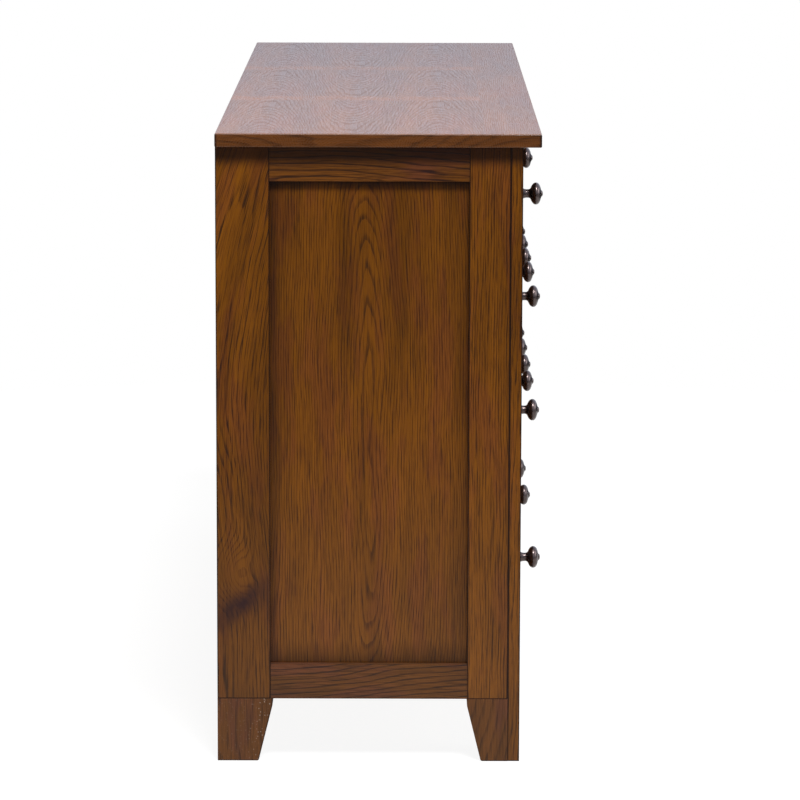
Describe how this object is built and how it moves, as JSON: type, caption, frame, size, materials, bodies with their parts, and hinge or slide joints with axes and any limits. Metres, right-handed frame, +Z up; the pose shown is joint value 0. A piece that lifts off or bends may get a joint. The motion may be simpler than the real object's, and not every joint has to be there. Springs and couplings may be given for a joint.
{
  "type": "chest of drawers",
  "caption": "Long low chest of drawers in stained oak with framed panel ends, tapered feet, inset drawer fronts and turned metal knobs.",
  "frame": {"origin": "middle of the box round the whole piece, at floor level", "axes": "+Z up, +X along the length, the drawers open towards -Y"},
  "size_m": [1.626, 0.4656, 0.902],
  "materials": {
    "oak_top": "aged stained oak, waxed",
    "oak_case": "aged stained oak, waxed",
    "oak_panel": "aged stained oak with a dark glaze along the edges",
    "oak_drawer_front": "aged stained oak, waxed",
    "drawer_wood": "plain pale wood, dry",
    "inner_wood": "plain wood, unfinished",
    "back_board": "plain thin board, lightly stained",
    "bronze": "dark bronze, glossy and slightly worn",
    "steel": "dull zinc plated screws"
  },
  "bodies": {
    "case": {"back_panel": "back_board", "back_post_left": "oak_case", "back_post_right": "oak_case", "back_rails": "inner_wood", "centre_partition": "inner_wood", "centre_stile": "oak_case", "corner_blocks": "inner_wood", "drawer_guides": "inner_wood", "feet": "oak_case", "front_bottom_rail": "oak_case", "front_divider_rails": "oak_case", "front_post_left": "oak_case", "front_post_right": "oak_case", "front_stile_left": "oak_case", "front_stile_right": "oak_case", "front_top_rail": "oak_case", "side_panel_left": "oak_panel", "side_panel_right": "oak_panel", "side_rails": "oak_case", "small_dividers": "oak_case", "top_cleats": "inner_wood", "top_field": "oak_top", "top_front_border": "oak_top", "web_frames": "inner_wood"},
    "drawer_row1_left": {"row1_left_box": "drawer_wood", "row1_left_front": "oak_drawer_front", "row1_left_knobs": "bronze"},
    "drawer_row1_right": {"row1_right_box": "drawer_wood", "row1_right_front": "oak_drawer_front", "row1_right_knobs": "bronze"},
    "drawer_row2_inner_left": {"row2_inner_left_box": "drawer_wood", "row2_inner_left_front": "oak_drawer_front", "row2_inner_left_knobs": "bronze"},
    "drawer_row2_inner_right": {"row2_inner_right_box": "drawer_wood", "row2_inner_right_front": "oak_drawer_front", "row2_inner_right_knobs": "bronze"},
    "drawer_row2_outer_left": {"row2_outer_left_box": "drawer_wood", "row2_outer_left_front": "oak_drawer_front", "row2_outer_left_knob": "bronze"},
    "drawer_row2_outer_right": {"row2_outer_right_box": "drawer_wood", "row2_outer_right_front": "oak_drawer_front", "row2_outer_right_knob": "bronze"},
    "drawer_row3_inner_left": {"row3_inner_left_box": "drawer_wood", "row3_inner_left_front": "oak_drawer_front", "row3_inner_left_knobs": "bronze"},
    "drawer_row3_inner_right": {"row3_inner_right_box": "drawer_wood", "row3_inner_right_front": "oak_drawer_front", "row3_inner_right_knobs": "bronze"},
    "drawer_row3_outer_left": {"row3_outer_left_box": "drawer_wood", "row3_outer_left_front": "oak_drawer_front", "row3_outer_left_knob": "bronze"},
    "drawer_row3_outer_right": {"row3_outer_right_box": "drawer_wood", "row3_outer_right_front": "oak_drawer_front", "row3_outer_right_knob": "bronze"},
    "drawer_row4_left": {"row4_left_box": "drawer_wood", "row4_left_front": "oak_drawer_front", "row4_left_knobs": "bronze"},
    "drawer_row4_right": {"row4_right_box": "drawer_wood", "row4_right_front": "oak_drawer_front", "row4_right_knobs": "bronze"}
  },
  "joints": [
    {"name": "row1_left_slide", "type": "slide", "parent": "case", "child": "drawer_row1_left", "axis": [0, -1, 0], "range_m": [0, 0.3]},
    {"name": "row1_right_slide", "type": "slide", "parent": "case", "child": "drawer_row1_right", "axis": [0, -1, 0], "range_m": [0, 0.3]},
    {"name": "row2_inner_left_slide", "type": "slide", "parent": "case", "child": "drawer_row2_inner_left", "axis": [0, -1, 0], "range_m": [0, 0.3]},
    {"name": "row2_inner_right_slide", "type": "slide", "parent": "case", "child": "drawer_row2_inner_right", "axis": [0, -1, 0], "range_m": [0, 0.3]},
    {"name": "row2_outer_left_slide", "type": "slide", "parent": "case", "child": "drawer_row2_outer_left", "axis": [0, -1, 0], "range_m": [0, 0.3]},
    {"name": "row2_outer_right_slide", "type": "slide", "parent": "case", "child": "drawer_row2_outer_right", "axis": [0, -1, 0], "range_m": [0, 0.3]},
    {"name": "row3_inner_left_slide", "type": "slide", "parent": "case", "child": "drawer_row3_inner_left", "axis": [0, -1, 0], "range_m": [0, 0.3]},
    {"name": "row3_inner_right_slide", "type": "slide", "parent": "case", "child": "drawer_row3_inner_right", "axis": [0, -1, 0], "range_m": [0, 0.3]},
    {"name": "row3_outer_left_slide", "type": "slide", "parent": "case", "child": "drawer_row3_outer_left", "axis": [0, -1, 0], "range_m": [0, 0.3]},
    {"name": "row3_outer_right_slide", "type": "slide", "parent": "case", "child": "drawer_row3_outer_right", "axis": [0, -1, 0], "range_m": [0, 0.3]},
    {"name": "row4_left_slide", "type": "slide", "parent": "case", "child": "drawer_row4_left", "axis": [0, -1, 0], "range_m": [0, 0.3]},
    {"name": "row4_right_slide", "type": "slide", "parent": "case", "child": "drawer_row4_right", "axis": [0, -1, 0], "range_m": [0, 0.3]}
  ]
}
